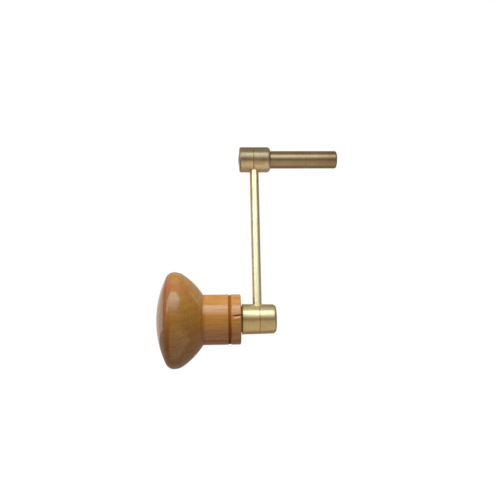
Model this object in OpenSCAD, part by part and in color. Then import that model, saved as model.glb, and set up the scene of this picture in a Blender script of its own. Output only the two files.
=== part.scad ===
// Hand crank for winding a clock, in millimetres.
// Origin: centre of the socket's mouth, on the winding tube's axis.
// +X runs out of the mouth, +Z is up, and the arm hangs down from the tube.

/* [Winding tube] */
// Outside diameter of the winding tube
tube_d = 7.9; // [7.5:0.1:9]
// Distance from the arm's axis to the socket's mouth
tube_reach = 37.6; // [32:0.2:60]
// Size of the square socket across its flats
socket_af = 4.5; // [4.25:0.25:4.75]
// Depth of the square part of the socket
socket_depth = 22; // [15:0.5:24]
// Radius of the rounded edge round the mouth
mouth_edge = 0.8; // [0.3:0.1:0.9]
// Diameter of the spigot that is riveted through the tube boss
spigot_d = 6; // [5.5:0.1:6.5]
// Height of the spigot's domed rivet head
rivet_h = 0.5; // [0.3:0.1:0.8]

/* [Tube boss] */
// Diameter of the boss that joins the tube to the arm
tube_boss_d = 11.4; // [10.6:0.1:14]
// Length of the boss behind the arm's axis
tube_boss_back = 6.6; // [5:0.1:10]
// Length of the boss in front of the arm's axis
tube_boss_front = 7.3; // [5:0.1:10]
// Rounding of the boss's back edge
tube_boss_back_edge = 0.8; // [0.3:0.1:1.2]
// Rounding of the boss's front edge
tube_boss_front_edge = 1.5; // [0.3:0.1:1.6]

/* [Arm] */
// Throw of the crank, from the tube's axis to the knob's axis
throw = 72.5; // [50:0.5:100]
// Diameter of the round arm
arm_d = 4; // [3:0.1:4.2]
// How far the arm runs past the tube's axis
arm_past_tube = 1.2; // [0.5:0.1:2]
// How far the arm runs past the knob's axis
arm_past_spindle = 3; // [1:0.1:4]

/* [Handle boss] */
// Diameter of the handle boss beside the knob
handle_boss_d = 12.9; // [12:0.1:16]
// Diameter of the handle boss at its far end
handle_boss_end_d = 12.4; // [11.5:0.1:16]
// Length of the handle boss from the arm's axis to the knob's side
handle_boss_back = 6.7; // [6:0.1:12]
// Length of the handle boss from the arm's axis to its far end
handle_boss_front = 7.9; // [5:0.1:12]
// Rounding of the far end's edge
handle_boss_edge = 1.6; // [0.4:0.1:2]

/* [Marking-out lines] */
// Width of the line scribed round each boss
scribe_w = 0.3; // [0.2:0.05:0.4]
// Depth of that line
scribe_depth = 0.15; // [0.1:0.05:0.2]
// Place of the tube boss's line, from the arm's axis
tube_scribe_x = -0.3; // [-1.5:0.1:1.5]
// Place of the handle boss's line, from the arm's axis
handle_scribe_x = 0.7; // [-1.5:0.1:1.5]

/* [Knob] */
// Largest diameter of the knob
knob_d = 40.8; // [36:0.2:44]
// Length of the knob from its neck's end to the top of its dome
knob_len = 35.6; // [34.3:0.1:37.3]
// Distance from the neck's end to the largest diameter
rim_at = 28.1; // [27.3:0.1:28.5]
// Radius of the domed face
dome_r = 42; // [40:0.5:50]
// Radius of the crown behind the rim
crown_r = 7; // [6:0.1:8]
// Angle over which the crown turns before the back begins
crown_angle = 35; // [25:1:38]
// Diameter of the neck
neck_d = 21.3; // [19:0.1:23]
// Length of the neck
neck_len = 15.9; // [14.4:0.1:17.4]
// Distance from the neck's end to the middle of its groove
groove_at = 4.7; // [3:0.1:9]
// Width of the groove
groove_w = 1.6; // [0.6:0.1:2]
// Depth of the groove
groove_depth = 0.3; // [0.2:0.05:0.6]
// Rounding of the neck's end
neck_edge = 0.6; // [0.3:0.1:1.5]

/* [Spindle and its washers] */
// Diameter of the journal on which the knob turns
journal_d = 6; // [5.5:0.1:6.5]
// Diameter of the screwed end
screw_d = 5; // [4:0.5:5]
// Length of the screwed end in the handle boss
screw_len = 4.4; // [3:0.1:4.4]
// Diameter of the spindle's slotted head
head_d = 9.5; // [8:0.1:11]
// Height of that head
head_h = 3; // [2:0.1:3.4]
// Width of the screwdriver slot
slot_w = 1.2; // [0.8:0.1:1.6]
// Depth of the screwdriver slot
slot_depth = 1.3; // [0.8:0.1:1.6]
// Thickness of the washer under the head
head_washer_t = 0.8; // [0.5:0.1:1]
// Thickness of the fibre washer between knob and handle boss
thrust_washer_t = 0.4; // [0.3:0.1:0.6]
// Diameter of the hole in both washers
washer_hole_d = 6.3; // [6.2:0.1:6.8]
// End play of the knob at each of its washers
end_play = 0.1; // [0.05:0.05:0.2]

/* [Bush and plug] */
// Outside diameter of the bush in the knob
bush_d = 8; // [7.6:0.1:10]
// Radial running clearance of the bush on the journal
bush_clearance = 0.05; // [0.02:0.01:0.1]
// Diameter of the recess for the spindle's head, and of the plug that closes it
recess_d = 12.4; // [11.6:0.1:14]
// Thickness of the plug at the top of the dome
plug_t = 3; // [2:0.1:4]
// Room between the plug and the spindle's head
plug_gap = 0.5; // [0.3:0.1:1]

/* [Hidden] */
$fn = 96;
// Points along each rounded edge, and along each larger arc
EDGE_STEPS = 6;
ARC_STEPS = 12;
// How far a cutter runs past the face that it cuts
OVER = 1;

// Places along X
arm_x = -tube_reach;
knob_end_x = arm_x - handle_boss_back - thrust_washer_t - end_play;

// Knob outline: x is the distance from the neck's end, y is the radius
knob_r = knob_d / 2;
neck_r = neck_d / 2;
dome_centre = [knob_len - dome_r, 0];
// The nose is the small arc that meets the dome and the rim's largest circle smoothly
nose_r = (pow(dome_r, 2) - pow(rim_at - dome_centre.x, 2) - pow(knob_r, 2)) / (2 * (dome_r - knob_r));
nose_centre = [rim_at, knob_r - nose_r];
nose_angle = atan2(nose_centre.y, nose_centre.x - dome_centre.x);
// The back is the arc that leaves the crown smoothly and ends at the root of the neck
crown_centre = [rim_at, knob_r - crown_r];
crown_out = [-sin(crown_angle), cos(crown_angle)];
crown_end = crown_centre + crown_r * crown_out;
neck_root = [neck_len, neck_r];
to_root = neck_root - crown_end;
back_r = -(to_root * to_root) / (2 * to_root * crown_out);
back_centre = crown_end - back_r * crown_out;
back_from = atan2(neck_root.y - back_centre.y, neck_root.x - back_centre.x);
// The groove is part of a circle that stands just off the neck
groove_r = (pow(groove_w / 2, 2) + pow(groove_depth, 2)) / (2 * groove_depth);
groove_centre = [groove_at, neck_r - groove_depth + groove_r];
groove_half = asin(groove_w / 2 / groove_r);

// The drilled pilot is a little wider than the square across its flats
pilot_d = socket_af + 0.15;
pilot_depth = socket_depth + 1;
drill_point_h = pilot_d / 2 / tan(59);
mouth_bevel = 0.4;

// The recess holds the plug, the spindle's head and the washer under it
recess_depth = plug_t + plug_gap + head_h + head_washer_t + end_play;
bush_bore_d = journal_d + 2 * bush_clearance;
bush_len = knob_len - recess_depth;
journal_len = thrust_washer_t + bush_len + 2 * end_play + head_washer_t;
chamfer = 0.3;

// Points on an arc, from one angle to another
function arc(centre, r, from, to, steps) =
    [for (i = [0:steps]) let (a = from + (to - from) * i / steps) centre + r * [cos(a), sin(a)]];

// Outline of a straight or tapered turned boss from x0 to x1, with rounded edges and a scribed line:
// x is along the axis, y is the radius
function boss_outline(x0, x1, r0, r1, edge0, edge1, line_x) =
    let (taper = atan2(r1 - r0, x1 - x0),
         line_r = r0 + (r1 - r0) * (line_x - x0) / (x1 - x0))
    concat(
        [[x0, 0]],
        arc([x0 + edge0, r0 - edge0], edge0, 180, 90 + taper, EDGE_STEPS),
        [[line_x - scribe_w / 2, line_r], [line_x, line_r - scribe_depth], [line_x + scribe_w / 2, line_r]],
        arc([x1 - edge1, r1 - edge1], edge1, 90 + taper, 0, EDGE_STEPS),
        [[x1, 0]]);

// Turns an outline, given as distance along X and radius, about the X axis
module turn(outline) {
    rotate([0, 90, 0])
        rotate_extrude()
            polygon([for (p = outline) [p.y, p.x]]);
}

// Round bar or hole along +X
module bar_x(x, len, d) {
    translate([x, 0, 0])
        rotate([0, 90, 0])
            cylinder(d = d, h = len);
}

// Round bar or hole along Z, at the arm's axis
module bar_z(from, to, d) {
    translate([arm_x, 0, from])
        cylinder(d = d, h = to - from);
}

// Moves a piece from the tube's axis to the knob's axis
module on_knob_axis() {
    translate([0, 0, -throw])
        children();
}

// Square broached over a drilled pilot, with a bevelled mouth
module socket_cutter() {
    mouth_r = pilot_d / 2 + mouth_bevel;
    translate([-socket_depth / 2 + OVER / 2, 0, 0])
        cube([socket_depth + OVER, socket_af, socket_af], center = true);
    bar_x(-pilot_depth, pilot_depth + OVER, pilot_d);
    turn([[-pilot_depth - drill_point_h, 0], [-pilot_depth, pilot_d / 2], [-pilot_depth, 0]]);
    turn([[-mouth_r, 0], [OVER, mouth_r + OVER], [OVER, 0]]);
}

// Low dome that the riveting leaves on the spigot's end
module rivet_dome(x) {
    r = (pow(spigot_d / 2, 2) + pow(rivet_h, 2)) / (2 * rivet_h);
    half = asin(spigot_d / 2 / r);
    turn(concat([[x, 0]], arc([x - rivet_h + r, 0], r, 180 - half, 180, EDGE_STEPS)));
}

module winding_tube() {
    shoulder_x = arm_x + tube_boss_front;
    spigot_x = arm_x - tube_boss_back;
    tube_r = tube_d / 2;
    color("#9c7f55")
        difference() {
            union() {
                turn(concat(
                    [[shoulder_x, 0], [shoulder_x, tube_r]],
                    arc([-mouth_edge, tube_r - mouth_edge], mouth_edge, 90, 0, EDGE_STEPS),
                    [[0, 0]]));
                bar_x(spigot_x, shoulder_x - spigot_x, spigot_d);
                rivet_dome(spigot_x);
            }
            socket_cutter();
            bar_z(-tube_boss_d, arm_past_tube, arm_d);
        }
}

module tube_boss() {
    r = tube_boss_d / 2;
    color("#96794f")
        difference() {
            turn(boss_outline(arm_x - tube_boss_back, arm_x + tube_boss_front, r, r,
                              tube_boss_back_edge, tube_boss_front_edge, arm_x + tube_scribe_x));
            bar_x(arm_x - tube_boss_back - OVER, tube_boss_back + tube_boss_front + 2 * OVER, spigot_d);
            bar_z(-tube_boss_d, 0, arm_d);
        }
}

module crank_arm() {
    top = arm_past_tube;
    bottom = -throw - arm_past_spindle;
    r = arm_d / 2;
    color("#d9c684")
        translate([arm_x, 0, 0])
            rotate_extrude()
                polygon([[0, bottom], [r - chamfer, bottom], [r, bottom + chamfer],
                         [r, top - chamfer], [r - chamfer, top], [0, top]]);
}

module handle_boss() {
    back_x = arm_x - handle_boss_back;
    color("#b79f66")
        difference() {
            on_knob_axis()
                turn(boss_outline(back_x, arm_x + handle_boss_front, handle_boss_d / 2, handle_boss_end_d / 2,
                                  chamfer, handle_boss_edge, arm_x + handle_scribe_x));
            on_knob_axis()
                bar_x(back_x - OVER, screw_len + OVER, screw_d);
            bar_z(-throw - arm_past_spindle, -throw + handle_boss_d, arm_d);
        }
}

// Shouldered screw: the journal seats on the handle boss, and the head holds the knob on
module handle_spindle() {
    seat_x = arm_x - handle_boss_back;
    head_x = seat_x - journal_len;
    top_x = head_x - head_h;
    color("#8d8a84")
        on_knob_axis()
            difference() {
                turn([[top_x, 0], [top_x, head_d / 2 - chamfer], [top_x + chamfer, head_d / 2],
                      [head_x, head_d / 2], [head_x, journal_d / 2], [seat_x, journal_d / 2],
                      [seat_x, screw_d / 2], [seat_x + screw_len - chamfer, screw_d / 2],
                      [seat_x + screw_len, screw_d / 2 - chamfer], [seat_x + screw_len, 0]]);
                translate([top_x, 0, 0])
                    cube([2 * slot_depth, head_d + OVER, slot_w], center = true);
            }
}

module washer(x, thickness, outside_d) {
    on_knob_axis()
        difference() {
            bar_x(x, thickness, outside_d);
            bar_x(x - OVER, thickness + 2 * OVER, washer_hole_d);
        }
}

module thrust_washer() {
    color("#3b2417")
        washer(arm_x - handle_boss_back - thrust_washer_t, thrust_washer_t, handle_boss_d - 2);
}

module head_washer() {
    color("#b79f66")
        washer(arm_x - handle_boss_back - journal_len, head_washer_t, recess_d - 1);
}

module knob_bush() {
    color("#b79f66")
        on_knob_axis()
            difference() {
                bar_x(knob_end_x - bush_len, bush_len, bush_d);
                bar_x(knob_end_x - bush_len - OVER, bush_len + 2 * OVER, bush_bore_d);
            }
}

// Outline of the turned wood, from the neck's end to the top of the dome
function knob_outline() =
    concat(
        [[0, 0]],
        arc([neck_edge, neck_r - neck_edge], neck_edge, 180, 90, EDGE_STEPS),
        arc(groove_centre, groove_r, 270 - groove_half, 270 + groove_half, EDGE_STEPS),
        arc(back_centre, back_r, back_from, 90 + crown_angle, ARC_STEPS),
        arc(crown_centre, crown_r, 90 + crown_angle, 90, ARC_STEPS),
        arc(nose_centre, nose_r, 90, nose_angle, ARC_STEPS),
        arc(dome_centre, dome_r, nose_angle, 0, ARC_STEPS));

// The wood as it leaves the lathe, with its neck's end towards the handle boss
module turned_wood() {
    translate([knob_end_x, 0, 0])
        rotate([0, -90, 0])
            rotate_extrude()
                polygon([for (p = knob_outline()) [p.y, p.x]]);
}

module knob() {
    top_x = knob_end_x - knob_len;
    color("#a8712f")
        on_knob_axis()
            difference() {
                turned_wood();
                bar_x(top_x - OVER, knob_len + 2 * OVER, bush_d);
                bar_x(top_x - OVER, recess_depth + OVER, recess_d);
            }
}

// Glued over the spindle's head and turned flush with the dome
module knob_plug() {
    top_x = knob_end_x - knob_len;
    color("#b07c3a")
        on_knob_axis()
            intersection() {
                turned_wood();
                bar_x(top_x - OVER, plug_t + OVER, recess_d);
            }
}

winding_tube();
tube_boss();
crank_arm();
handle_boss();
handle_spindle();
thrust_washer();
head_washer();
knob_bush();
knob();
knob_plug();
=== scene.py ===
"""Looks of a hand crank for winding a clock: brass tube, bosses and arm, and a turned wooden knob.

Lengths are in millimetres in the classes' fields and in metres in the meshes.
"""

import logging
import math
from dataclasses import dataclass
from enum import Enum

import bmesh
import bpy
from bpy.types import Material, Node, NodeSocket as Socket, NodeTree as Tree, Object
from mathutils import Matrix, Vector


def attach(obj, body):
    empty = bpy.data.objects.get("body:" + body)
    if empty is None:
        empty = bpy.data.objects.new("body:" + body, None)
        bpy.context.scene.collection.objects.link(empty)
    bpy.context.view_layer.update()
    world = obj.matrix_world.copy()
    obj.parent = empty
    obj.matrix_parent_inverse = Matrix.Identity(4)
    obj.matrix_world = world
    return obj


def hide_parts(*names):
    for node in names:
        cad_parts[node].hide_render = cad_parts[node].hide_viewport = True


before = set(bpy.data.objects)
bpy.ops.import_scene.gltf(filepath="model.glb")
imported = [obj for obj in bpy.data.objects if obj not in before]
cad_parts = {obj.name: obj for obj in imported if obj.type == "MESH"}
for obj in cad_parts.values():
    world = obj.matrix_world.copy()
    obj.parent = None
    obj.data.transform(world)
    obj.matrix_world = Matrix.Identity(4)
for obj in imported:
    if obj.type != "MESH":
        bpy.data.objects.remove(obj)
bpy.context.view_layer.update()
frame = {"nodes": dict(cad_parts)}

logging.basicConfig(level=logging.INFO, format="%(name)s: %(message)s")
LOG = logging.getLogger("clock_crank")

MM = 0.001
Point = tuple[float, float]
Place = tuple[float, float, float]
Edge = tuple[Place, Place]
# Band round a turned piece: its middle along the axis, half its width, and its strength
Band = tuple[float, float, float]


class Axis(Enum):
    """Way in which the marks of making run on a piece of metal."""

    ROUND_X = "turned about an axis along X"
    ALONG_Z = "drawn and rubbed along Z"


def linear(hex_colour: str) -> tuple[float, float, float, float]:
    """Turn an sRGB hex colour into linear light.

    Args:
        hex_colour: colour such as "#a8712f".

    Returns:
        Red, green, blue and alpha, with alpha 1.
    """
    parts = [int(hex_colour[i:i + 2], 16) / 255 for i in (1, 3, 5)]
    values = [c / 12.92 if c <= 0.04045 else ((c + 0.055) / 1.055) ** 2.4 for c in parts]
    return (values[0], values[1], values[2], 1.0)


def add_node(tree: Tree, kind: str, inputs: dict | None = None, **settings: object) -> Node:
    """Add a node to a tree, with its settings and what feeds its inputs.

    Args:
        tree: node tree that gets the node.
        kind: Blender's name of the node type.
        inputs: input names or numbers, each with a constant, an output, or a node for its first output.
        settings: properties of the node and their values.

    Returns:
        The new node.
    """
    node = tree.nodes.new(kind)
    for name, value in settings.items():
        setattr(node, name, value)
    for key, value in (inputs or {}).items():
        source = value.outputs[0] if isinstance(value, Node) else value
        if isinstance(source, Socket):
            tree.links.new(source, node.inputs[key])
        else:
            node.inputs[key].default_value = source
    return node


def new_material(name: str) -> Material:
    """Make an empty node material.

    Args:
        name: name of the material.

    Returns:
        The material, which has no nodes yet.
    """
    material = bpy.data.materials.new(name)
    material.use_nodes = True
    material.node_tree.nodes.clear()
    return material


def new_object(name: str, data: bpy.types.ID) -> Object:
    """Add an object to the scene.

    Args:
        name: name of the object.
        data: its mesh, light or camera.

    Returns:
        The object, at the origin.
    """
    made = bpy.data.objects.new(name, data)
    bpy.context.scene.collection.objects.link(made)
    return made


def object_mm(tree: Tree, origin: Place) -> Socket:
    """Measure a place on the object in millimetres.

    Args:
        tree: material's node tree.
        origin: place to measure from, in millimetres.

    Returns:
        Output with the place.
    """
    coords = add_node(tree, "ShaderNodeTexCoord")
    per_mm = (1 / MM, 1 / MM, 1 / MM)
    measured = add_node(tree, "ShaderNodeVectorMath", {
        0: coords.outputs["Object"], 1: per_mm, 2: tuple(-c for c in origin)}, operation="MULTIPLY_ADD")
    return measured.outputs[0]


def band_share(tree: Tree, along: Socket, band: Point, inside: Socket | float,
               outside: float = 0.0) -> Socket:
    """Mark a band that runs round a turned piece, with soft edges.

    Args:
        tree: material's node tree.
        along: place along the piece's axis.
        band: middle of the band and half its width, in the units of along.
        inside: value within the band.
        outside: value beside it.

    Returns:
        Output with that value.
    """
    middle, half = band
    offset = add_node(tree, "ShaderNodeMath", {0: along, 1: middle}, operation="SUBTRACT")
    away = add_node(tree, "ShaderNodeMath", {0: offset}, operation="ABSOLUTE")
    share = add_node(tree, "ShaderNodeMapRange", {
        "Value": away, "From Min": 0.5 * half, "From Max": 1.4 * half,
        "To Min": inside, "To Max": outside}, interpolation_type="SMOOTHSTEP")
    return share.outputs[0]


def tint_band(tree: Tree, along: Socket, colour: Socket, tint: str, band: Point,
              strength: Socket | float) -> Socket:
    """Tint a band that runs round a turned piece.

    Args:
        tree: material's node tree.
        along: place along the piece's axis.
        colour: colour of the surface beside the band.
        tint: hex colour of the band.
        band: middle of the band and half its width, in the units of along.
        strength: share of the tint, from 0 to 1.

    Returns:
        Colour of the surface with its band.
    """
    mixed = add_node(tree, "ShaderNodeMix", {
        "Factor": band_share(tree, along, band, strength), "A": colour, "B": linear(tint)}, data_type="RGBA")
    return mixed.outputs["Result"]


def seen_share(tree: Tree) -> Socket:
    """Tell what the camera sees, straight, in gloss or through glass, from what only lights the object.

    Args:
        tree: node tree of the floor or of the surroundings.

    Returns:
        Output that is 1 for what is seen and 0 for the rest.
    """
    path = add_node(tree, "ShaderNodeLightPath")
    seen = path.outputs["Is Camera Ray"]
    for kind in ("Is Glossy Ray", "Is Transmission Ray"):
        either = add_node(tree, "ShaderNodeMath", {0: seen, 1: path.outputs[kind]}, operation="MAXIMUM")
        seen = either.outputs[0]
    return seen


@dataclass(frozen=True)
class LacqueredWood:
    """Stained, spindle-turned hardwood under gloss lacquer.

    The eye gets long fibres along the knob's axis, growth rings that the turning cuts across,
    short dark pores, patches where the amber stain took more, and a wet-looking clear coat.
    """

    name: str
    # Tones of the grain, of the stain where it took more, and of the hollows' darkening, which is pooled
    # stain and painted shade
    light: str = "#ca9240"
    middle: str = "#b27f34"
    dark: str = "#875a1e"
    red: str = "#b45a26"
    pooled_stain_and_shade: str = "#9a5518"
    # Spacing of the rings, widths of the streaks, patches and tool marks, and the lacquer's waves
    ring_mm: float = 3.4
    fibre_mm: float = 0.7
    pore_mm: float = 0.28
    patch_mm: float = 13.0
    mark_mm: float = 0.5
    flow_mm: float = 3.0
    flow_height_mm: float = 0.08
    # Darkness of the plain wood, and what the rings and the fibres add to it
    tone: float = 0.22
    ring_tone: float = 0.09
    fibre_tone: float = 0.6
    # Bands along the axis: hollows darkened by pooled stain and painted shade, one with bare wood, and
    # reddish streaks
    hollows: tuple[Band, ...] = ()
    bare: Point | None = None
    rims: tuple[Point, ...] = ()
    waver_mm: float = 0.6
    # Where the neck begins, how soon its look sets in, and how much paler and redder it is
    neck_from: float = 0.0
    neck_ease_mm: float = 2.0
    neck_pale: float = 0.0
    neck_red: float = 0.0
    # Shift of the stain's patches, place of the wood's centre, and where the tree's pith lay
    patch_shift: Place = (0.0, 0.0, 0.0)
    centre: Place = (0.0, 0.0, 0.0)
    pith: Point = (24.0, -31.0)

    def build(self) -> Material:
        """Make the material from the sizes above.

        Returns:
            The finished node material.
        """
        material = new_material(self.name)
        tree = material.node_tree
        local = object_mm(tree, self.centre)
        along = add_node(tree, "ShaderNodeSeparateXYZ", {0: local}).outputs["X"]
        fibres = self._streaks(tree, local, self.fibre_mm, stretch=26.0, detail=3.0)
        pores = self._streaks(tree, local, self.pore_mm, stretch=9.0, detail=2.0)
        shifted = add_node(tree, "ShaderNodeVectorMath", {0: local, 1: self.patch_shift}, operation="ADD")
        patches = add_node(tree, "ShaderNodeTexNoise", {
            "Vector": shifted, "Scale": 1 / self.patch_mm, "Detail": 2.0, "Roughness": 0.5}).outputs["Fac"]
        neck = add_node(tree, "ShaderNodeMapRange", {
            "Value": along, "From Min": self.neck_from - self.neck_ease_mm,
            "From Max": self.neck_from + self.neck_ease_mm}).outputs[0]
        colour = self._stained(tree, self._rings(tree, local), fibres, patches, neck)
        pored = add_node(tree, "ShaderNodeMapRange", {
            "Value": pores, "From Min": 0.62, "From Max": 0.72, "To Max": 0.45})
        porous = add_node(tree, "ShaderNodeMix", {
            "Factor": pored, "A": colour, "B": linear(self.dark)}, data_type="RGBA")
        colour = self._banded(tree, porous.outputs["Result"], along, patches, pores)
        rough = add_node(tree, "ShaderNodeMapRange", {"Value": fibres, "To Min": 0.38, "To Max": 0.52})
        lacquer = 1.0
        if self.bare is not None:
            lacquer = band_share(tree, along, self.bare, inside=0.1, outside=1.0)
        shader = add_node(tree, "ShaderNodeBsdfPrincipled", {
            "Base Color": colour, "Roughness": rough, "IOR": 1.5, "Specular IOR Level": 0.0,
            "Coat Weight": lacquer, "Coat Roughness": 0.135, "Coat IOR": 1.62,
            "Normal": self._relief(tree, fibres), "Coat Normal": self._flow(tree, local)})
        add_node(tree, "ShaderNodeOutputMaterial", {"Surface": shader})
        return material

    def _stained(self, tree: Tree, rings: Socket, fibres: Socket, patches: Socket, neck: Socket) -> Socket:
        """Colour the wood by its rings and fibres, and redden it where it took more stain.

        Args:
            tree: material's node tree.
            rings: growth rings, from 0 to 1.
            fibres: streaks of the grain, which are redder on the neck.
            patches: how the stain took, from 0 to 1.
            neck: share of the neck's look, which is paler.

        Returns:
            Colour of the stained wood.
        """
        tone: Node | float = self.tone
        for part, weight in ((rings, self.ring_tone), (fibres, self.fibre_tone), (neck, -self.neck_pale)):
            tone = add_node(tree, "ShaderNodeMath", {0: part, 1: weight, 2: tone}, operation="MULTIPLY_ADD")
        ramp = add_node(tree, "ShaderNodeValToRGB", {"Fac": tone})
        ramp.color_ramp.elements.new(1.0)
        stops = ((0.2, self.light), (0.52, self.middle), (0.85, self.dark))
        for element, (place, colour) in zip(ramp.color_ramp.elements, stops):
            element.position = place
            element.color = linear(colour)
        patchy = add_node(tree, "ShaderNodeMapRange", {
            "Value": patches, "From Min": 0.54, "From Max": 0.72, "To Max": 0.7})
        streaky = add_node(tree, "ShaderNodeMapRange", {
            "Value": fibres, "From Min": 0.4, "From Max": 0.62, "To Max": self.neck_red})
        on_neck = add_node(tree, "ShaderNodeMath", {0: streaky, 1: neck}, operation="MULTIPLY")
        stain = add_node(tree, "ShaderNodeMath", {0: patchy, 1: on_neck}, operation="MAXIMUM")
        reddened = add_node(tree, "ShaderNodeMix", {
            "Factor": stain, "A": ramp, "B": linear(self.red)}, data_type="RGBA")
        return reddened.outputs["Result"]

    def _banded(self, tree: Tree, colour: Socket, along: Socket, patches: Socket, pores: Socket) -> Socket:
        """Add the rim's reddish streaks, and the hollows' darkening, which is pooled stain and painted
        shade.

        Args:
            tree: material's node tree.
            colour: colour of the stained wood.
            along: place along the knob's axis.
            patches: how the stain took, which breaks the streaks up.
            pores: short streaks, by which the hollows' edges waver.

        Returns:
            Colour of the wood with its bands.
        """
        streak = add_node(tree, "ShaderNodeMapRange", {
            "Value": patches, "From Min": 0.35, "From Max": 0.6, "To Min": 0.3, "To Max": 0.65})
        for band in self.rims:
            colour = tint_band(tree, along, colour, self.red, band, streak.outputs[0])
        waver = add_node(tree, "ShaderNodeMath", {
            0: pores, 1: self.waver_mm, 2: along}, operation="MULTIPLY_ADD")
        # Darker bands in the groove and at the neck's root: pooled stain and painted shade
        for middle, half, strength in self.hollows:
            band = (middle + self.waver_mm / 2, half)
            colour = tint_band(tree, waver.outputs[0], colour, self.pooled_stain_and_shade, band, strength)
        return colour

    def _rings(self, tree: Tree, vector: Socket) -> Socket:
        """Add the growth rings, round a pith that lies outside the knob and leans a little.

        Args:
            tree: material's node tree.
            vector: place in millimetres from the knob's centre.

        Returns:
            Output that runs from 0 in early wood to 1 in late wood.
        """
        turned = add_node(tree, "ShaderNodeMapping", {
            "Vector": vector, "Location": (0.0, *self.pith), "Rotation": (0.0, 0.14, 0.1)})
        wave = add_node(tree, "ShaderNodeTexWave", {
            "Vector": turned, "Scale": math.tau / (20 * self.ring_mm), "Distortion": 2.2,
            "Detail": 2.0, "Detail Scale": 0.35, "Detail Roughness": 0.5},
            wave_type="RINGS", rings_direction="X", wave_profile="SAW")
        return wave.outputs["Fac"]

    def _streaks(self, tree: Tree, vector: Socket, width_mm: float, stretch: float, detail: float) -> Socket:
        """Add streaks that run along X.

        Args:
            tree: material's node tree.
            vector: place in millimetres from the knob's centre.
            width_mm: width of a streak.
            stretch: length of a streak in widths.
            detail: octaves of finer streaks.

        Returns:
            Output from 0 to 1.
        """
        squeezed = add_node(tree, "ShaderNodeMapping", {
            "Vector": vector, "Scale": (1 / (width_mm * stretch), 1 / width_mm, 1 / width_mm)})
        noise = add_node(tree, "ShaderNodeTexNoise", {
            "Vector": squeezed, "Scale": 1.0, "Detail": detail, "Roughness": 0.55})
        return noise.outputs["Fac"]

    def _flow(self, tree: Tree, vector: Socket) -> Socket:
        """Add the shallow waves of brushed lacquer, which break up the edges of its highlights.

        Args:
            tree: material's node tree.
            vector: place in millimetres from the knob's centre.

        Returns:
            Normal for the clear coat.
        """
        waves = add_node(tree, "ShaderNodeTexNoise", {
            "Vector": vector, "Scale": 1 / self.flow_mm, "Detail": 1.0, "Roughness": 0.5})
        bump = add_node(tree, "ShaderNodeBump", {
            "Height": waves, "Strength": 1.0, "Distance": self.flow_height_mm * MM})
        return bump.outputs["Normal"]

    def _relief(self, tree: Tree, fibres: Socket) -> Socket:
        """Add the faint rings that the turning tool left under the lacquer.

        Args:
            tree: material's node tree.
            fibres: streaks of the grain, which also stand a little proud.

        Returns:
            Normal for the shader.
        """
        along = add_node(tree, "ShaderNodeAttribute", attribute_name="along")
        phase = add_node(tree, "ShaderNodeMath", {
            0: along.outputs["Fac"], 1: 1 / MM / self.mark_mm}, operation="MULTIPLY")
        marks = add_node(tree, "ShaderNodeTexNoise", {
            "W": phase, "Scale": 1.0, "Detail": 2.0}, noise_dimensions="1D")
        height = add_node(tree, "ShaderNodeMath", {
            0: fibres, 1: 0.12, 2: marks}, operation="MULTIPLY_ADD")
        bump = add_node(tree, "ShaderNodeBump", {"Height": height, "Strength": 0.16, "Distance": 0.05 * MM})
        return bump.outputs["Normal"]


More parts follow.
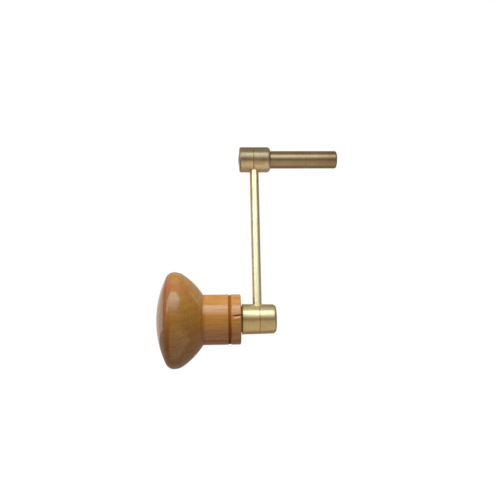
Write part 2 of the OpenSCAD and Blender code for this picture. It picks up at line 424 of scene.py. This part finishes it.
@dataclass(frozen=True)
class Brass:
    """Brass with the marks of its making, handled and browned in places.

    The eye gets a soft band of light broken into fine lines, a duller film where fingers don't rub and which
    is painted darker towards the top or the bottom as painted shade, ends tinted as painted shade at their
    rounded edges, and a residue in a scribed line.
    """

    name: str
    clean: str
    film: str
    roughness: float
    film_share: float
    axis: Axis
    # Stretch of the highlight, height of the piece's axis, and widths of the marks and the film's patches
    brushing: float = 0.5
    axis_z: float = 0.0
    mark_mm: float = 0.22
    patch_mm: float = 5.0
    # How far the marks break up the film, and how much darker the film is painted with each millimetre
    # upwards, as painted shade by height; lighter upwards where negative
    mark_share: float = 0.5
    painted_shade_rise: float = 0.0
    # Places of the ends with their tints, painted shade at the rounded ends, with the rivet's band in the
    # boss's lighter tone; and the scribed line's place, width and residue
    ends: tuple[tuple[float, str], ...] = ()
    end_mm: float = 0.6
    line: tuple[float, float, str] | None = None

    def build(self) -> Material:
        """Make the material from the sizes above.

        Returns:
            The finished node material.
        """
        material = new_material(self.name)
        tree = material.node_tree
        local = object_mm(tree, (0.0, 0.0, self.axis_z))
        place = add_node(tree, "ShaderNodeSeparateXYZ", {0: local})
        along = place.outputs["X"]
        marks = self._marks(tree, local, place)
        patches = add_node(tree, "ShaderNodeTexNoise", {
            "Vector": local, "Scale": 1 / self.patch_mm, "Detail": 4.0, "Roughness": 0.6})
        lines = add_node(tree, "ShaderNodeMapRange", {
            "Value": marks, "To Min": 0.25 - self.mark_share / 2, "To Max": 0.25 + self.mark_share / 2})
        dulled = add_node(tree, "ShaderNodeMath", {0: lines, 1: patches}, operation="ADD")
        # Height shifts the film's share as painted shade and light by height, on top of the real marks and
        # tarnish patches
        film_and_height_shade = add_node(tree, "ShaderNodeMath", {
            0: place.outputs["Z"], 1: self.painted_shade_rise, 2: dulled}, operation="MULTIPLY_ADD")
        share = add_node(tree, "ShaderNodeMapRange", {
            "Value": film_and_height_shade, "From Min": 0.85 - self.film_share, "From Max": 1.45 - self.film_share})
        filmed = add_node(tree, "ShaderNodeMix", {
            "Factor": share, "A": linear(self.clean), "B": linear(self.film)}, data_type="RGBA")
        colour = filmed.outputs["Result"]
        # End tints: painted shade at the rounded ends, and the boss's lighter tone on the rivet
        for end_x, tint in self.ends:
            colour = tint_band(tree, along, colour, tint, (end_x, self.end_mm), 0.8)
        if self.line is not None:
            line_x, width, residue = self.line
            colour = tint_band(tree, along, colour, residue, (line_x, width / 2), 1.0)
        rough = add_node(tree, "ShaderNodeMapRange", {
            "Value": dulled, "From Min": 0.4, "From Max": 1.0,
            "To Min": self.roughness - 0.06, "To Max": self.roughness + 0.1})
        bump = add_node(tree, "ShaderNodeBump", {"Height": marks, "Strength": 0.14, "Distance": 0.03 * MM})
        round_axis = "X" if self.axis is Axis.ROUND_X else "Z"
        tangent = add_node(tree, "ShaderNodeTangent", direction_type="RADIAL", axis=round_axis)
        shader = add_node(tree, "ShaderNodeBsdfPrincipled", {
            "Base Color": colour, "Metallic": 1.0, "Roughness": rough,
            "Anisotropic": self.brushing, "Anisotropic Rotation": 0.25,
            "Tangent": tangent, "Normal": bump})
        add_node(tree, "ShaderNodeOutputMaterial", {"Surface": shader})
        return material

    def _marks(self, tree: Tree, vector: Socket, place: Node) -> Socket:
        """Add the fine marks of the tool or the die.

        Turned marks go round the axis, on the side and on the ends alike. The real ones are finer
        than a pixel, so they are drawn coarse enough to show.

        Args:
            tree: material's node tree.
            vector: place in millimetres, with its height from the piece's axis.
            place: node with that place's three parts.

        Returns:
            Output from 0 to 1.
        """
        run = 40 * self.mark_mm
        pitch = (1 / self.mark_mm, 1 / self.mark_mm, 1 / run)
        source = vector
        if self.axis is Axis.ROUND_X:
            pitch = (1 / self.mark_mm, 1 / run, 1 / run)
            across = add_node(tree, "ShaderNodeVectorMath", {
                0: vector, 1: (0.0, 1.0, 1.0)}, operation="MULTIPLY")
            radius = add_node(tree, "ShaderNodeVectorMath", {0: across}, operation="LENGTH")
            travel = add_node(tree, "ShaderNodeMath", {
                0: place.outputs["X"], 1: radius.outputs["Value"]}, operation="ADD")
            source = add_node(tree, "ShaderNodeCombineXYZ", {
                "X": travel, "Y": place.outputs["Y"], "Z": place.outputs["Z"]}).outputs[0]
        scaled = add_node(tree, "ShaderNodeMapping", {"Vector": source, "Scale": pitch})
        noise = add_node(tree, "ShaderNodeTexNoise", {
            "Vector": scaled, "Scale": 1.0, "Detail": 3.0, "Roughness": 0.6})
        return noise.outputs["Fac"]


@dataclass(frozen=True)
class PlainStock:
    """Stock that hardly shows: turned steel, pressed fibre or bare wood.

    The eye gets a fine speckle and a small change of gloss, and nothing more.
    """

    name: str
    colour: str
    speck: str
    metallic: float
    roughness: float
    speck_mm: float

    def build(self) -> Material:
        """Make the material from the sizes above.

        Returns:
            The finished node material.
        """
        material = new_material(self.name)
        tree = material.node_tree
        coords = add_node(tree, "ShaderNodeTexCoord")
        specks = add_node(tree, "ShaderNodeTexNoise", {
            "Vector": coords.outputs["Object"], "Scale": 1 / MM / self.speck_mm, "Detail": 4.0})
        colour = add_node(tree, "ShaderNodeMix", {
            "Factor": specks, "A": linear(self.colour), "B": linear(self.speck)}, data_type="RGBA")
        rough = add_node(tree, "ShaderNodeMapRange", {
            "Value": specks, "To Min": self.roughness - 0.08, "To Max": self.roughness + 0.08})
        bump = add_node(tree, "ShaderNodeBump", {"Height": specks, "Strength": 0.2, "Distance": 0.03 * MM})
        shader = add_node(tree, "ShaderNodeBsdfPrincipled", {
            "Base Color": colour.outputs["Result"], "Metallic": self.metallic,
            "Roughness": rough, "Normal": bump})
        add_node(tree, "ShaderNodeOutputMaterial", {"Surface": shader})
        return material


class Lathe:
    """Geometry Nodes tree that turns an outline about an axis along X."""

    def __init__(self) -> None:
        """Build the tree once, for every turned piece."""
        self.tree = bpy.data.node_groups.new("Turn Outline", "GeometryNodeTree")
        self._sockets = self._interface()
        self._fill()

    def _interface(self) -> dict[str, str]:
        """Returns:
            The identifier of each input, by name.
        """
        face = self.tree.interface
        inputs = [("Outline", "NodeSocketGeometry"), ("Steps Round", "NodeSocketInt"),
                  ("Axis Height", "NodeSocketFloat"), ("Finish", "NodeSocketMaterial")]
        found = {name: face.new_socket(name, in_out="INPUT", socket_type=kind).identifier
                 for name, kind in inputs}
        face.new_socket("Turned", in_out="OUTPUT", socket_type="NodeSocketGeometry")
        return found

    def _fill(self) -> None:
        """Add the nodes: a grid whose rows follow the outline and whose columns go round the axis."""
        tree = self.tree
        given = add_node(tree, "NodeGroupInput")
        outline = given.outputs["Outline"]
        size = add_node(tree, "GeometryNodeAttributeDomainSize", {"Geometry": outline}, component="MESH")
        count = size.outputs["Point Count"]
        columns = add_node(tree, "FunctionNodeIntegerMath", {
            0: given.outputs["Steps Round"], 1: 1}, operation="ADD")
        grid = add_node(tree, "GeometryNodeMeshGrid", {"Vertices X": columns, "Vertices Y": count})
        index = add_node(tree, "GeometryNodeInputIndex")
        row = add_node(tree, "FunctionNodeIntegerMath", {0: index, 1: count}, operation="MODULO")
        column = add_node(tree, "FunctionNodeIntegerMath", {0: index, 1: count}, operation="DIVIDE_FLOOR")
        part = add_node(tree, "ShaderNodeMath", {
            0: column, 1: given.outputs["Steps Round"]}, operation="DIVIDE")
        angle = add_node(tree, "ShaderNodeMath", {0: part, 1: math.tau}, operation="MULTIPLY")
        position = add_node(tree, "GeometryNodeInputPosition")
        point = add_node(tree, "GeometryNodeSampleIndex", {
            "Geometry": outline, "Value": position, "Index": row}, data_type="FLOAT_VECTOR")
        place = add_node(tree, "ShaderNodeSeparateXYZ", {0: point.outputs["Value"]})
        cosine = add_node(tree, "ShaderNodeMath", {0: angle}, operation="COSINE")
        sine = add_node(tree, "ShaderNodeMath", {0: angle}, operation="SINE")
        across = add_node(tree, "ShaderNodeMath", {0: place.outputs["Y"], 1: cosine}, operation="MULTIPLY")
        height = add_node(tree, "ShaderNodeMath", {
            0: place.outputs["Y"], 1: sine, 2: given.outputs["Axis Height"]}, operation="MULTIPLY_ADD")
        spun = add_node(tree, "ShaderNodeCombineXYZ", {"X": place.outputs["X"], "Y": across, "Z": height})
        named = add_node(tree, "GeometryNodeInputNamedAttribute", {"Name": "along"}, data_type="FLOAT")
        length = add_node(tree, "GeometryNodeSampleIndex", {
            "Geometry": outline, "Value": named.outputs["Attribute"], "Index": row}, data_type="FLOAT")
        stored = add_node(tree, "GeometryNodeStoreNamedAttribute", {
            "Geometry": grid, "Name": "along", "Value": length.outputs["Value"]},
            data_type="FLOAT", domain="POINT")
        moved = add_node(tree, "GeometryNodeSetPosition", {"Geometry": stored, "Position": spun})
        closed = add_node(tree, "GeometryNodeMergeByDistance", {"Geometry": moved, "Distance": 0.0005 * MM})
        real = add_node(tree, "GeometryNodeRealizeInstances", {"Geometry": closed})
        dressed = add_node(tree, "GeometryNodeSetMaterial", {
            "Geometry": real, "Material": given.outputs["Finish"]})
        add_node(tree, "NodeGroupOutput", {0: dressed})

    def turn(self, name: str, outline: list[Point], height: float, finish: Material,
             steps: int) -> Object:
        """Turn one piece.

        Args:
            name: name of the new object.
            outline: points as X and radius, in millimetres.
            height: height of the axis, in millimetres.
            finish: material of the piece.
            steps: steps round the axis.

        Returns:
            An object with a plain, closed mesh.
        """
        mesh = bpy.data.meshes.new(name)
        mesh.from_pydata([(x * MM, r * MM, 0.0) for x, r in outline], [], [])
        along = mesh.attributes.new("along", "FLOAT", "POINT")
        total = 0.0
        for i, (x, r) in enumerate(outline):
            if i:
                total += math.hypot(x - outline[i - 1][0], r - outline[i - 1][1]) * MM
            along.data[i].value = total
        piece = new_object(name, mesh)
        turning = piece.modifiers.new("Turning", "NODES")
        turning.node_group = self.tree
        turning[self._sockets["Steps Round"]] = steps
        turning[self._sockets["Axis Height"]] = height * MM
        turning[self._sockets["Finish"]] = finish
        settle(piece, sharp=32.0)
        return piece


def settle(piece: Object, sharp: float) -> None:
    """Turn a piece's modifiers into a plain mesh, with faces outwards and smooth between its edges.

    Args:
        piece: object with live modifiers.
        sharp: angle in degrees from which an edge stays sharp.
    """
    graph = bpy.context.evaluated_depsgraph_get()
    mesh = bpy.data.meshes.new_from_object(piece.evaluated_get(graph), depsgraph=graph)
    piece.modifiers.clear()
    piece.data = mesh
    work = bmesh.new()
    work.from_mesh(mesh)
    bmesh.ops.dissolve_degenerate(work, dist=0.0001 * MM, edges=work.edges)
    bmesh.ops.recalc_face_normals(work, faces=work.faces)
    work.to_mesh(mesh)
    work.free()
    mesh.shade_smooth()
    mesh.set_sharp_from_angle(angle=math.radians(sharp))


def arc(centre: Point, radius: float, start: float, end: float, steps: int) -> list[Point]:
    """Give points on an arc.

    Args:
        centre: centre of the arc.
        radius: its radius.
        start: first angle in radians.
        end: last angle in radians.
        steps: steps between them.

    Returns:
        The points, ends included.
    """
    angles = [start + (end - start) * i / steps for i in range(steps + 1)]
    return [(centre[0] + radius * math.cos(a), centre[1] + radius * math.sin(a)) for a in angles]


@dataclass
class Knob:
    """Turned wooden knob with its plug, on the knob's axis."""

    end_x: float = -44.8
    axis_z: float = -72.5
    diameter: float = 40.78
    length: float = 35.6
    rim_at: float = 28.1
    dome_r: float = 42.0
    crown_r: float = 7.0
    crown_angle: float = 35.0
    neck_d: float = 21.3
    neck_len: float = 15.9
    groove_at: float = 4.7
    groove_w: float = 1.6
    groove_depth: float = 0.3
    neck_edge: float = 0.6
    bore_d: float = 8.0
    recess_d: float = 12.4
    recess_depth: float = 7.4
    plug_t: float = 3.0
    joint_ease: float = 0.09
    # Drying split at the neck's end, with its lower lip worn to a slope
    split_len: float = 3.9
    split_w: float = 1.2
    split_depth: float = 0.9
    split_angle: float = 1.4
    lip_w: float = 1.4
    lip_depth: float = 0.42
    # Where the lip starts, in widths of the split, and how far the cutter stands out of the wood
    lip_start: float = 0.15
    cutter_clear: float = 0.4
    # Steps round the knob and round its plug
    knob_steps: int = 288
    plug_steps: int = 144

    def build(self, lathe: Lathe) -> list[Object]:
        """Turn the knob and its plug, open the split, and put both in the CAD nodes' places.

        Args:
            lathe: tree that turns an outline.

        Returns:
            The new pieces.
        """
        wood, plug_wood, bare = self.finishes()
        knob = lathe.turn("knob_wood", self._placed(self._ring()), self.axis_z, wood.build(),
                          self.knob_steps)
        self._open_split(knob, bare.build())
        plug = lathe.turn("knob_end_plug", self._placed(self._disc()), self.axis_z, plug_wood.build(),
                          self.plug_steps)
        for piece, node in ((knob, "knob"), (plug, "knob_plug")):
            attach(piece, "knob")
            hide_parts(node)
        return [knob, plug]

    def finishes(self) -> tuple[LacqueredWood, LacqueredWood, PlainStock]:
        """Choose the knob's finishes.

        Returns:
            Those of the knob, of its plug from another piece of that wood, and of the split's inside.
        """
        centre = (self.end_x - self.length / 2, 0.0, self.axis_z)
        wood = LacqueredWood(
            "amber_lacquered_birch", centre=centre, hollows=self._hollows(), bare=self._groove(),
            rims=self._rims(), neck_from=self.length / 2 - self.neck_len, neck_pale=0.36, neck_red=0.4,
            patch_shift=(13.8, 9.0, -7.6))
        plug_wood = LacqueredWood("amber_lacquered_birch_plug", centre=centre, pith=(-14.0, 40.0))
        bare = PlainStock("bare_split_birch", colour="#a25a18", speck="#70400f", metallic=0.0,
                          roughness=0.8, speck_mm=0.3)
        return wood, plug_wood, bare

    def _outside(self) -> list[Point]:
        """Work out the wood's outside, from the neck's end to the dome's top.

        Returns:
            Points as distance from the neck's end and radius.
        """
        knob_r = self.diameter / 2
        neck_r = self.neck_d / 2
        dome_x = self.length - self.dome_r
        nose_r = ((self.dome_r ** 2 - (self.rim_at - dome_x) ** 2 - knob_r ** 2)
                  / (2 * (self.dome_r - knob_r)))
        nose = (self.rim_at, knob_r - nose_r)
        nose_angle = math.atan2(nose[1], nose[0] - dome_x)
        turn = math.radians(self.crown_angle)
        crown = (self.rim_at, knob_r - self.crown_r)
        out = Vector((-math.sin(turn), math.cos(turn)))
        crown_end = Vector(crown) + self.crown_r * out
        to_root = Vector((self.neck_len, neck_r)) - crown_end
        back_r = -to_root.length_squared / (2 * to_root.dot(out))
        back = crown_end - back_r * out
        back_from = math.atan2(neck_r - back.y, self.neck_len - back.x)
        groove_r = ((self.groove_w / 2) ** 2 + self.groove_depth ** 2) / (2 * self.groove_depth)
        groove = (self.groove_at, neck_r - self.groove_depth + groove_r)
        half = math.asin(self.groove_w / 2 / groove_r)
        edge = (self.neck_edge, neck_r - self.neck_edge)
        quarter = math.pi / 2
        return (arc(edge, self.neck_edge, math.pi, quarter, steps=8)
                + [(self.groove_at - self.groove_w, neck_r)]
                + arc(groove, groove_r, 3 * quarter - half, 3 * quarter + half, steps=12)
                + [(self.groove_at + self.groove_w, neck_r)]
                + arc((back.x, back.y), back_r, back_from, quarter + turn, steps=40)
                + arc(crown, self.crown_r, quarter + turn, quarter, steps=20)[1:]
                + arc(nose, nose_r, quarter, nose_angle, steps=16)[1:]
                + arc((dome_x, 0.0), self.dome_r, nose_angle, 0.0, steps=60)[1:])

    def _ring(self) -> list[Point]:
        """Close the outside with the bore and the recess for the spindle's head.

        Returns:
            Points as distance from the neck's end and radius, back to the first.
        """
        bore_r = self.bore_d / 2
        recess_r = self.recess_d / 2
        eased_r = recess_r + self.joint_ease
        lip = self.length - self.dome_r + math.sqrt(self.dome_r ** 2 - eased_r ** 2)
        floor = self.length - self.recess_depth
        body = [p for p in self._outside() if p[1] > eased_r + self.joint_ease or p[0] < self.neck_len]
        return [(0.0, bore_r), *body, (lip, eased_r), (lip - self.joint_ease, recess_r),
                (floor, recess_r), (floor, bore_r), (0.0, bore_r)]

    def _disc(self) -> list[Point]:
        """Work out the plug's outline, whose cap carries on the dome.

        Returns:
            Points as distance from the neck's end and radius.
        """
        recess_r = self.recess_d / 2
        reach = math.asin((recess_r - self.joint_ease) / self.dome_r)
        cap = arc((self.length - self.dome_r, 0.0), self.dome_r, 0.0, reach, steps=24)
        back = self.length - self.plug_t
        return [*cap, (cap[-1][0] - self.joint_ease, recess_r), (back, recess_r), (back, 0.0)]

    def _hollows(self) -> tuple[Band, ...]:
        """Give the darker bands in the groove and at the neck's root, pooled stain and painted shade, from
        the knob's centre.
        """
        root = self.length / 2 - self.neck_len
        return ((*self._groove(), 1.0), (root, 1.0, 0.35))

    def _groove(self) -> Point:
        """Give the place from the knob's centre where the groove is bare, with half its width."""
        # The groove's band sits toward its shaded side, so its darker tint is partly painted shade
        shadow_side = 0.12
        bare_share = 0.4
        return (self.length / 2 - self.groove_at - shadow_side, bare_share * self.groove_w)

    def _rims(self) -> tuple[Point, ...]:
        """Give the places of the rim's two reddish streaks from the knob's centre, and half widths."""
        rim = self.length / 2 - self.rim_at
        return ((rim - 0.9, 0.6), (rim - 2.7, 0.7))

    def _placed(self, outline: list[Point]) -> list[Point]:
        """Measure an outline from the socket's mouth instead of from the neck's end."""
        return [(self.end_x - x, r) for x, r in outline]

    def _split_section(self, open_share: float, lip_share: float, drift: float) -> tuple[Point, ...]:
        """Work out one cross section of the cutter that opens the split.

        Args:
            open_share: share of the split's full width and depth.
            lip_share: share of the worn lip's full width and depth.
            drift: height of the split above its line.

        Returns:
            Points as height and distance from the knob's axis. The lip runs from the third to the fourth.
        """
        neck_r = self.neck_d / 2
        clear_r = neck_r + self.cutter_clear
        width = self.split_w * open_share
        low = drift - self.lip_w * lip_share
        return ((drift + width / 2, clear_r), (drift, neck_r - self.split_depth * open_share),
                (drift - self.lip_start * width, neck_r - self.lip_depth * lip_share),
                (low, neck_r), (low, clear_r))

    def _split_cutter(self, bare: Material, coated: Material) -> Object:
        """Make the solid that opens the split when it is cut away.

        Args:
            bare: material inside the split.
            coated: material of the worn lip.

        Returns:
            The cutter, in the split's place.
        """
        # Distance from the neck's end, shares of the split and of its lip, and drift
        stations = [(-0.4, 1.15, 0.5, 0.1), (0.6, 1.05, 0.65, 0.08), (1.4, 0.95, 0.85, 0.02),
                    (2.2, 0.8, 1.0, -0.04), (3.1, 0.5, 0.9, -0.1), (self.split_len, 0.04, 0.04, -0.14)]
        sections = [self._split_section(*station[1:]) for station in stations]
        spin = Matrix.Rotation(math.radians(self.split_angle), 3, "X").inverted()
        work = bmesh.new()
        loops = []
        for (along, *_), section in zip(stations, sections):
            spots = [spin @ Vector((0.0, -r, height)) for height, r in section]
            loops.append([work.verts.new(Vector((self.end_x - along, s.y, self.axis_z + s.z)) * MM)
                          for s in spots])
        work.faces.new(loops[0])
        work.faces.new(reversed(loops[-1]))
        lip_side = 2
        for near, far in zip(loops, loops[1:]):
            for i in range(len(near)):
                j = (i + 1) % len(near)
                face = work.faces.new((near[j], near[i], far[i], far[j]))
                face.material_index = 1 if i == lip_side else 0
        bmesh.ops.recalc_face_normals(work, faces=work.faces)
        mesh = bpy.data.meshes.new("split_cutter")
        work.to_mesh(mesh)
        work.free()
        mesh.materials.append(bare)
        mesh.materials.append(coated)
        return new_object("split_cutter", mesh)

    def _open_split(self, knob: Object, bare: Material) -> None:
        """Cut the small drying split that opens at the neck's end.

        Args:
            knob: turned knob.
            bare: material inside the split.
        """
        cutter = self._split_cutter(bare, knob.data.materials[0])
        cut = knob.modifiers.new("Split", "BOOLEAN")
        cut.object = cutter
        cut.operation = "DIFFERENCE"
        cut.solver = "EXACT"
        cut.material_mode = "TRANSFER"
        settle(knob, sharp=14.0)
        mesh = cutter.data
        bpy.data.objects.remove(cutter)
        bpy.data.meshes.remove(mesh)


@dataclass
class Crank:
    """Metal and fibre pieces: tube, bosses, arm, spindle, washers and the knob's bush."""

    arm_x: float = -37.6
    knob_z: float = -72.5
    tube_line: float = -0.3
    handle_line: float = 0.7
    tube_boss_ends: Point = (-6.6, 7.3)
    handle_boss_ends: Point = (-6.7, 7.9)

    def dress(self, nodes: dict[str, Object]) -> None:
        """Give each solid that stays as it is its material.

        Args:
            nodes: CAD nodes by name.
        """
        for name, material in self.finishes().items():
            for slot in nodes[name].material_slots:
                slot.material = material
            LOG.info("%s dressed in %s", name, material.name)

    def finishes(self) -> dict[str, Material]:
        """Make the materials of those solids.

        Returns:
            A material for each node.
        """
        dull = {"roughness": 0.33, "axis": Axis.ROUND_X}
        bright = {"clean": "#d8c594", "film": "#c2ae88", "film_share": 0.3}
        low = {"axis": Axis.ROUND_X, "axis_z": self.knob_z, "roughness": 0.32}
        # The end tints paint shade at the rounded ends of the tube and the bosses; the rivet's band gives it
        # the boss's lighter tone
        rivet_x = self.arm_x + self.tube_boss_ends[0]
        turned = Brass("turned_bright_brass", **bright, **low).build()
        return {
            # The film's change with height is painted shade: the tube, its boss and the arm darker upwards,
            # the handle boss lighter upwards
            "winding_tube": Brass(
                "turned_dull_brass", clean="#b09b7c", film="#785a3a", painted_shade_rise=0.08, film_share=0.42,
                patch_mm=30.0, mark_share=0.25, ends=((0.0, "#5e4a34"), (rivet_x, "#dcc8a6")),
                **dull).build(),
            "tube_boss": Brass(
                "turned_dull_brass_scribed", clean="#e1cba9", film="#998166", painted_shade_rise=0.146, film_share=0.8,
                line=(self.arm_x + self.tube_line, 0.3, "#b08a66"),
                ends=tuple((self.arm_x + end, "#b09d80") for end in self.tube_boss_ends), **dull).build(),
            "crank_arm": Brass(
                "rubbed_bright_brass", clean="#fff3ca", film="#e4d2a4", roughness=0.3, film_share=0.3,
                axis=Axis.ALONG_Z, axis_z=self.knob_z / 2, painted_shade_rise=0.012).build(),
            "handle_boss": Brass(
                "turned_bright_brass_scribed", line=(self.arm_x + self.handle_line, 0.55, "#d8ae84"),
                painted_shade_rise=-0.05, ends=tuple((self.arm_x + end, "#b9a87f") for end in self.handle_boss_ends),
                **bright, **low).build(),
            "head_washer": turned,
            "knob_bush": turned,
            "handle_spindle": PlainStock("turned_steel", colour="#8d8a84", speck="#6f6c67", metallic=1.0,
                                         roughness=0.35, speck_mm=0.4).build(),
            "thrust_washer": PlainStock("vulcanised_fibre", colour="#3b2417", speck="#24150d", metallic=0.0,
                                        roughness=0.75, speck_mm=0.5).build(),
        }


def along_x(span: Point, y: float, z: float) -> Edge:
    """Give the two ends of an edge that runs along X."""
    return ((span[0], y, z), (span[1], y, z))


def along_y(x: float, span: Point, z: float) -> Edge:
    """Give the two ends of an edge that runs along Y."""
    return ((x, span[0], z), (x, span[1], z))


@dataclass
class Stage:
    """Camera, light, floor and surroundings."""

    yaw: float = 2.932
    pitch: float = -13.5
    roll: float = -1.198
    eye: Place = (-53.3, -255.6, -103.6)
    lens: float = 43.2
    sensor: float = 36.0
    floor_z: float = -460.0
    floor_size: float = 6000.0
    target: Place = (-50.0, 0.0, -45.0)
    fill: float = 0.23

    def build(self) -> None:
        """Set up the whole stage."""
        bpy.context.scene.view_settings.view_transform = "Standard"
        self.camera()
        self.floor()
        self.surroundings()
        self.softbox("key_softbox", azimuth=2.0, elevation=36.0, distance=300.0,
                     size=(640.0, 240.0), radiance=1.7)
        self.softbox("top_softbox", azimuth=-10.0, elevation=74.0, distance=700.0,
                     size=(700.0, 700.0), radiance=2.25)
        self.tent()

    def camera(self) -> None:
        """Put the camera where the photograph was taken from."""
        turn = (Matrix.Rotation(math.radians(self.roll), 3, "Y")
                @ Matrix.Rotation(math.radians(self.pitch), 3, "X")
                @ Matrix.Rotation(math.radians(self.yaw), 3, "Z"))
        right, ahead, up = (Vector(row) for row in turn)
        data = bpy.data.cameras.new("photo_camera")
        data.sensor_fit = "HORIZONTAL"
        data.sensor_width = self.sensor
        data.lens = self.lens
        data.clip_start = 0.01
        camera = new_object("photo_camera", data)
        camera.matrix_world = Matrix.Translation(Vector(self.eye) * MM) @ Matrix(
            (right, up, -ahead)).transposed().to_4x4()
        bpy.context.scene.camera = camera

    def softbox(self, name: str, azimuth: float, elevation: float, distance: float, size: Point,
                radiance: float) -> None:
        """Hang a soft rectangular light that faces the object and that gloss doesn't show.

        Args:
            name: name of the light.
            azimuth: degrees to the right of the camera's side.
            elevation: degrees above the object.
            distance: distance from the object, in millimetres.
            size: width and height in millimetres.
            radiance: brightness of its surface, where 1 is white.
        """
        a, e = math.radians(azimuth), math.radians(elevation)
        away = Vector((math.sin(a) * math.cos(e), -math.cos(a) * math.cos(e), math.sin(e)))
        data = bpy.data.lights.new(name, "AREA")
        data.shape = "RECTANGLE"
        data.size, data.size_y = size[0] * MM, size[1] * MM
        data.energy = math.pi * radiance * data.size * data.size_y
        light = new_object(name, data)
        light.location = (Vector(self.target) + away * distance) * MM
        light.rotation_euler = (-away).to_track_quat("-Z", "Y").to_euler()
        light.visible_glossy = False

    def card(self, name: str, low: Edge, high: Edge, colour: str, glow: Point = (1.0, 1.0),
             fade: Point | None = None) -> None:
        """Stand a card where only gloss can see it.

        Args:
            name: name of the card.
            low: ends of its lower edge, in millimetres.
            high: ends of its upper edge, in the same order.
            colour: hex colour of the card.
            glow: brightness of that colour at the lower and the upper edge.
            fade: places along X between which the glow dies away, if it does.
        """
        mesh = bpy.data.meshes.new(name)
        corners = (low[0], low[1], high[1], high[0])
        mesh.from_pydata([tuple(c * MM for c in corner) for corner in corners], [], [(0, 1, 2, 3)])
        levels = mesh.attributes.new("glow", "FLOAT", "POINT")
        levels.data.foreach_set("value", (glow[0], glow[0], glow[1], glow[1]))
        material = new_material(name + "_felt")
        tree = material.node_tree
        level = add_node(tree, "ShaderNodeAttribute", attribute_name="glow").outputs["Fac"]
        if fade is not None:
            coords = add_node(tree, "ShaderNodeTexCoord")
            place = add_node(tree, "ShaderNodeSeparateXYZ", {0: coords.outputs["Object"]})
            share = add_node(tree, "ShaderNodeMapRange", {
                "Value": place.outputs["X"], "From Min": fade[0] * MM, "From Max": fade[1] * MM,
                "To Min": 1.0, "To Max": 0.15}, interpolation_type="SMOOTHSTEP")
            level = add_node(tree, "ShaderNodeMath", {0: level, 1: share}, operation="MULTIPLY").outputs[0]
        shader = add_node(tree, "ShaderNodeEmission", {"Color": linear(colour), "Strength": level})
        add_node(tree, "ShaderNodeOutputMaterial", {"Surface": shader})
        mesh.materials.append(material)
        card = new_object(name, mesh)
        card.visible_camera = False
        card.visible_diffuse = False
        card.visible_shadow = False

    def floor(self) -> None:
        """Lay the pale floor, which keeps the object's shadow."""
        half = self.floor_size / 2 * MM
        z = self.floor_z * MM
        mesh = bpy.data.meshes.new("floor")
        mesh.from_pydata([(-half, -half, z), (half, -half, z), (half, half, z), (-half, half, z)],
                         [], [(0, 1, 2, 3)])
        material = new_material("pale_paper")
        tree = material.node_tree
        coords = add_node(tree, "ShaderNodeTexCoord")
        away = add_node(tree, "ShaderNodeVectorMath", {0: coords.outputs["Object"]}, operation="LENGTH")
        fade = add_node(tree, "ShaderNodeMapRange", {
            "Value": away.outputs["Value"], "From Min": 0.25, "From Max": 0.6,
            "To Min": 0.65, "To Max": 1.02})
        lift = add_node(tree, "ShaderNodeMath", {0: seen_share(tree), 1: fade}, operation="MULTIPLY")
        paper = add_node(tree, "ShaderNodeBsdfDiffuse", {"Color": linear("#c6a27c")})
        glow = add_node(tree, "ShaderNodeEmission", {"Strength": lift})
        both = add_node(tree, "ShaderNodeAddShader", {0: paper, 1: glow})
        add_node(tree, "ShaderNodeOutputMaterial", {"Surface": both})
        mesh.materials.append(material)
        floor = new_object("floor", mesh)

    def surroundings(self) -> None:
        """Make the surroundings white to the camera and in gloss, and a dimmer fill otherwise."""
        world = bpy.data.worlds.new("white_room")
        bpy.context.scene.world = world
        world.use_nodes = True
        tree = world.node_tree
        tree.nodes.clear()
        strength = add_node(tree, "ShaderNodeMapRange", {
            "Value": seen_share(tree), "To Min": self.fill, "To Max": 1.0})
        sky = add_node(tree, "ShaderNodeBackground", {"Color": (1.0, 1.0, 1.0, 1.0), "Strength": strength})
        add_node(tree, "ShaderNodeOutputWorld", {"Surface": sky})

    def tent(self) -> None:
        """Close the room round the object with cards, from the light in front to the one behind."""
        wide = (-650.0, 550.0)
        deep = (-420.0, 384.0)
        table_z, ceiling_z = -435.0, 475.0
        sill = along_x(wide, -355.0, 40.0)
        skirting = along_x(wide, deep[0], -110.0)
        table_front = along_x(wide, -380.0, -198.0)
        table_back = along_x(wide, 127.0, table_z)
        horizon = along_x(wide, deep[1], -73.0)
        dado = along_x(wide, deep[1], 60.0)
        cornice = along_x(wide, -250.0, 230.0)
        ceiling_front = along_x(wide, -60.0, ceiling_z)
        ceiling_back = along_x(wide, 330.0, ceiling_z)
        bend = ((-300.0, -350.0, 40.0), (-124.0, -114.0, 117.0))
        right_end = ((350.0, -350.0, 40.0), (171.0, -114.0, 117.0))
        left_end = ((-640.0, -350.0, -60.0), (-244.0, -114.0, 54.0))
        for name, start, end in (("key_card", bend, right_end), ("key_left_card", left_end, bend)):
            self.card(name, (start[0], end[0]), (start[1], end[1]), "#d6ecf4", (1.25, 4.2),
                      fade=(20.0, 260.0))
        self.card("front_card", sill, cornice, "#9c9a98")
        self.card("wall_card", skirting, sill, "#fff0de", (0.12, 0.95))
        self.card("camera_card", table_front, skirting, "#94826a")
        self.card("floor_card", table_back, table_front, "#f8eed8", (0.9, 0.68), fade=(-120.0, -340.0))
        self.card("low_back_card", table_back, horizon, "#ffeed8", (0.42, 0.32))
        self.card("canopy_card", cornice, ceiling_front, "#b4b2ae", (1.0, 1.5))
        self.card("top_card", ceiling_front, ceiling_back, "#c6c4c0", (1.5, 0.25))
        self.card("back_low_card", horizon, dado, "#f0e2d4")
        self.card("back_card", dado, ceiling_back, "#b8b4ac")
        for name, x, colour in (("left_card", wide[0], "#b0a294"), ("right_card", wide[1], "#857f74")):
            self.card(name, along_y(x, deep, table_z), along_y(x, deep, ceiling_z), colour)


def main() -> None:
    """Build the stage and the crank, and report each piece."""
    Stage().build()
    Crank().dress(frame["nodes"])
    for piece in Knob().build(Lathe()):
        LOG.info("%s has %d faces", piece.name, len(piece.data.polygons))


if __name__ == "__main__":
    main()
